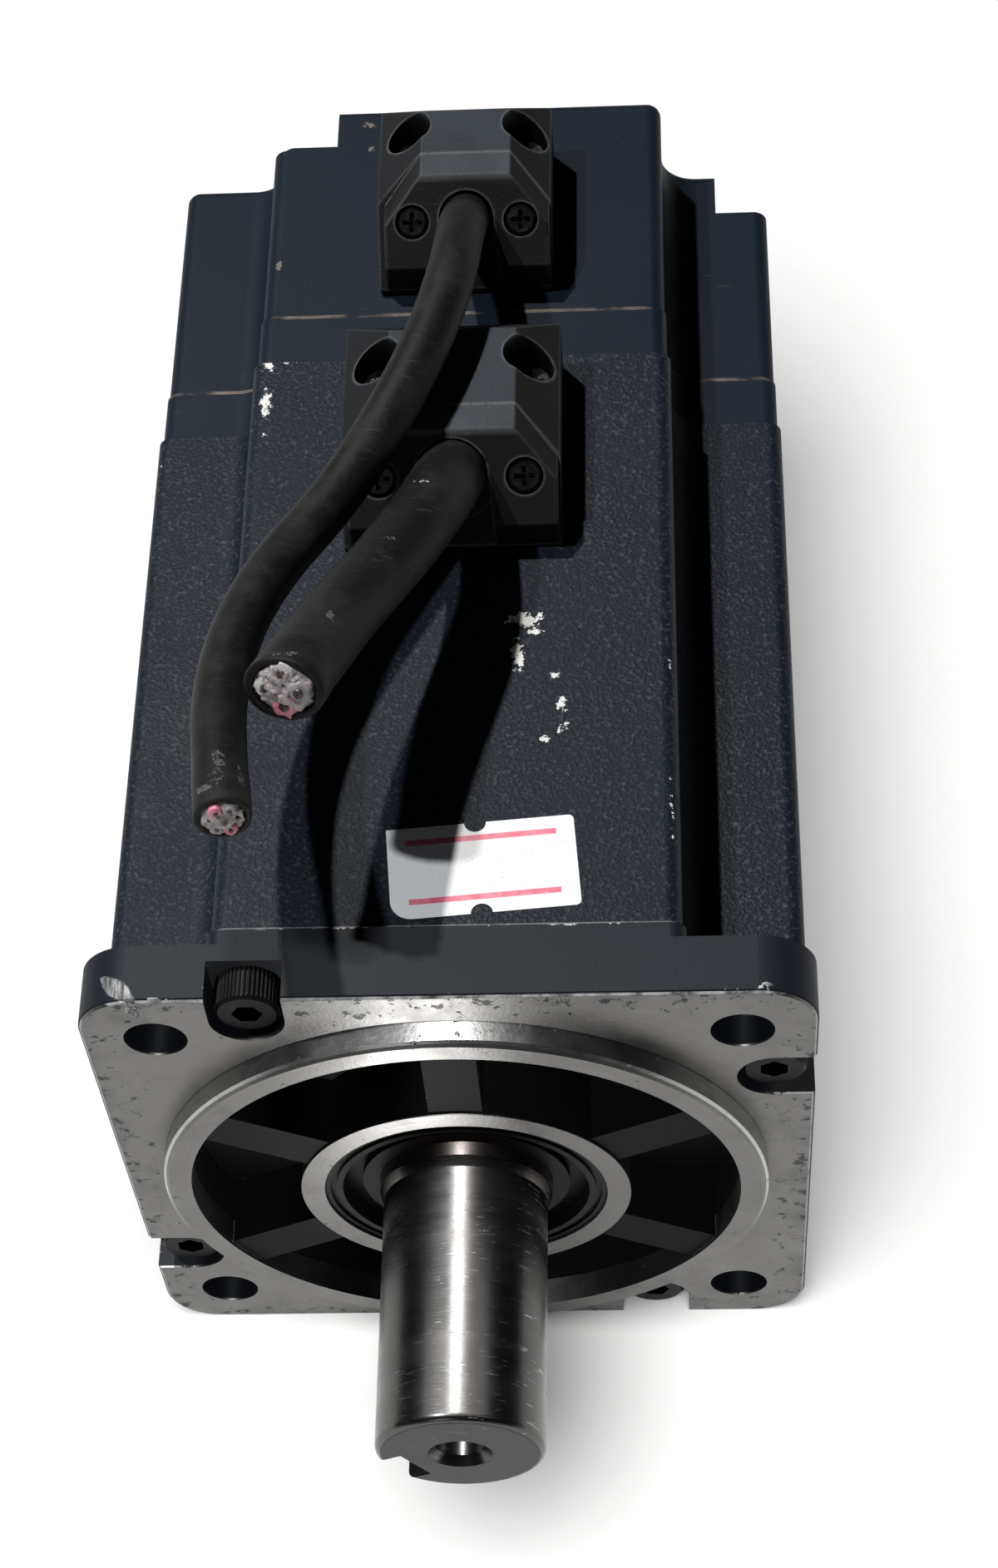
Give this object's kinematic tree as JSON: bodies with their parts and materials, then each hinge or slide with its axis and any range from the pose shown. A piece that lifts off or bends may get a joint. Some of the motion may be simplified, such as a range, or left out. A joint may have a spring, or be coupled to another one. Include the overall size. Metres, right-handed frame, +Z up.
{
  "type": "ac_servo_motor",
  "caption": "AC servo motor with a square flange, ground keyed shaft, dark plus-section housing and separate power and encoder cables that are cut off bare.",
  "frame": {"origin": "centre of the flange's front mounting face, on the shaft axis", "axes": "-Y along the shaft, out of the motor; +Z up through the side with the two cable covers; +X to the right seen from the shaft end"},
  "size_m": [0.08, 0.1697, 0.1136],
  "materials": {
    "bare_casting": "satin",
    "textured_paint": "satin",
    "smooth_paint": "satin",
    "ground_steel": "satin",
    "bearing_steel": "polished",
    "black_screw": "satin",
    "zinc_screw": "satin",
    "seal_rubber": "matte",
    "cable_rubber": "matte",
    "black_plastic": "matte",
    "core_insulation": "matte",
    "insulator_plastic": "matte",
    "lamination_steel": "satin",
    "copper_wire": "satin",
    "magnet": "satin",
    "circuit_board": "gloss",
    "encoder_glass": "clear",
    "label_film": "matte"
  },
  "bodies": {
    "motor_body": {"front_bracket": "bare_casting", "flange_screws": "black_screw", "oil_seal": "seal_rubber", "front_bearing_outer_ring": "bearing_steel", "front_bearing_snap_ring": "black_screw", "rear_bearing_outer_ring": "bearing_steel", "rear_bearing_wave_spring": "ground_steel", "stator_housing": "textured_paint", "stator_core": "lamination_steel", "slot_insulators": "insulator_plastic", "stator_coils": "copper_wire", "coil_board": "circuit_board", "coil_terminal_block": "insulator_plastic", "rear_bracket": "smooth_paint", "rear_bracket_screws": "black_screw", "encoder_board": "circuit_board", "encoder_board_screws": "zinc_screw", "encoder_reading_head": "black_plastic", "encoder_connector": "insulator_plastic", "rear_cover_seal": "seal_rubber", "rear_cover": "smooth_paint", "rear_cover_screws": "black_screw", "label": "label_film", "power_cover_base": "black_plastic", "power_cover_gasket": "seal_rubber", "power_cover_screws": "zinc_screw", "power_cable_clamp": "black_plastic", "power_clamp_screws": "zinc_screw", "power_cable_bush": "seal_rubber", "power_leads": "core_insulation", "power_cable": "cable_rubber", "power_cable_cores": "core_insulation", "encoder_cover_base": "black_plastic", "encoder_cover_gasket": "seal_rubber", "encoder_cover_screws": "zinc_screw", "encoder_cable_clamp": "black_plastic", "encoder_clamp_screws": "zinc_screw", "encoder_cable_bush": "seal_rubber", "encoder_leads": "core_insulation", "encoder_cable": "cable_rubber", "encoder_cable_cores": "core_insulation"},
    "rotor": {"shaft": "ground_steel", "rotor_core": "lamination_steel", "rotor_magnets": "magnet", "rotor_sleeve": "ground_steel", "front_bearing_inner_ring": "bearing_steel", "rear_bearing_inner_ring": "bearing_steel", "encoder_hub": "bare_casting", "encoder_hub_screw": "black_screw", "encoder_disc": "encoder_glass"},
    "front_cage": {"front_bearing_cage": "insulator_plastic", "front_bearing_balls": "bearing_steel"},
    "rear_cage": {"rear_bearing_cage": "insulator_plastic", "rear_bearing_balls": "bearing_steel"}
  },
  "joints": [
    {"name": "shaft_spin", "type": "hinge", "parent": "motor_body", "child": "rotor", "pos_m": [0, 0, 0], "axis": [0, -1, 0], "continuous": true},
    {"name": "front_cage_spin", "type": "hinge", "parent": "motor_body", "child": "front_cage", "pos_m": [0, 0.0132, 0], "axis": [0, -1, 0], "continuous": true},
    {"name": "rear_cage_spin", "type": "hinge", "parent": "motor_body", "child": "rear_cage", "pos_m": [0, 0.091, 0], "axis": [0, -1, 0], "continuous": true}
  ],
  "couplings": [
    {"joint": "front_cage_spin", "follows": "shaft_spin", "ratio": 0.39758},
    {"joint": "rear_cage_spin", "follows": "shaft_spin", "ratio": 0.39872}
  ]
}
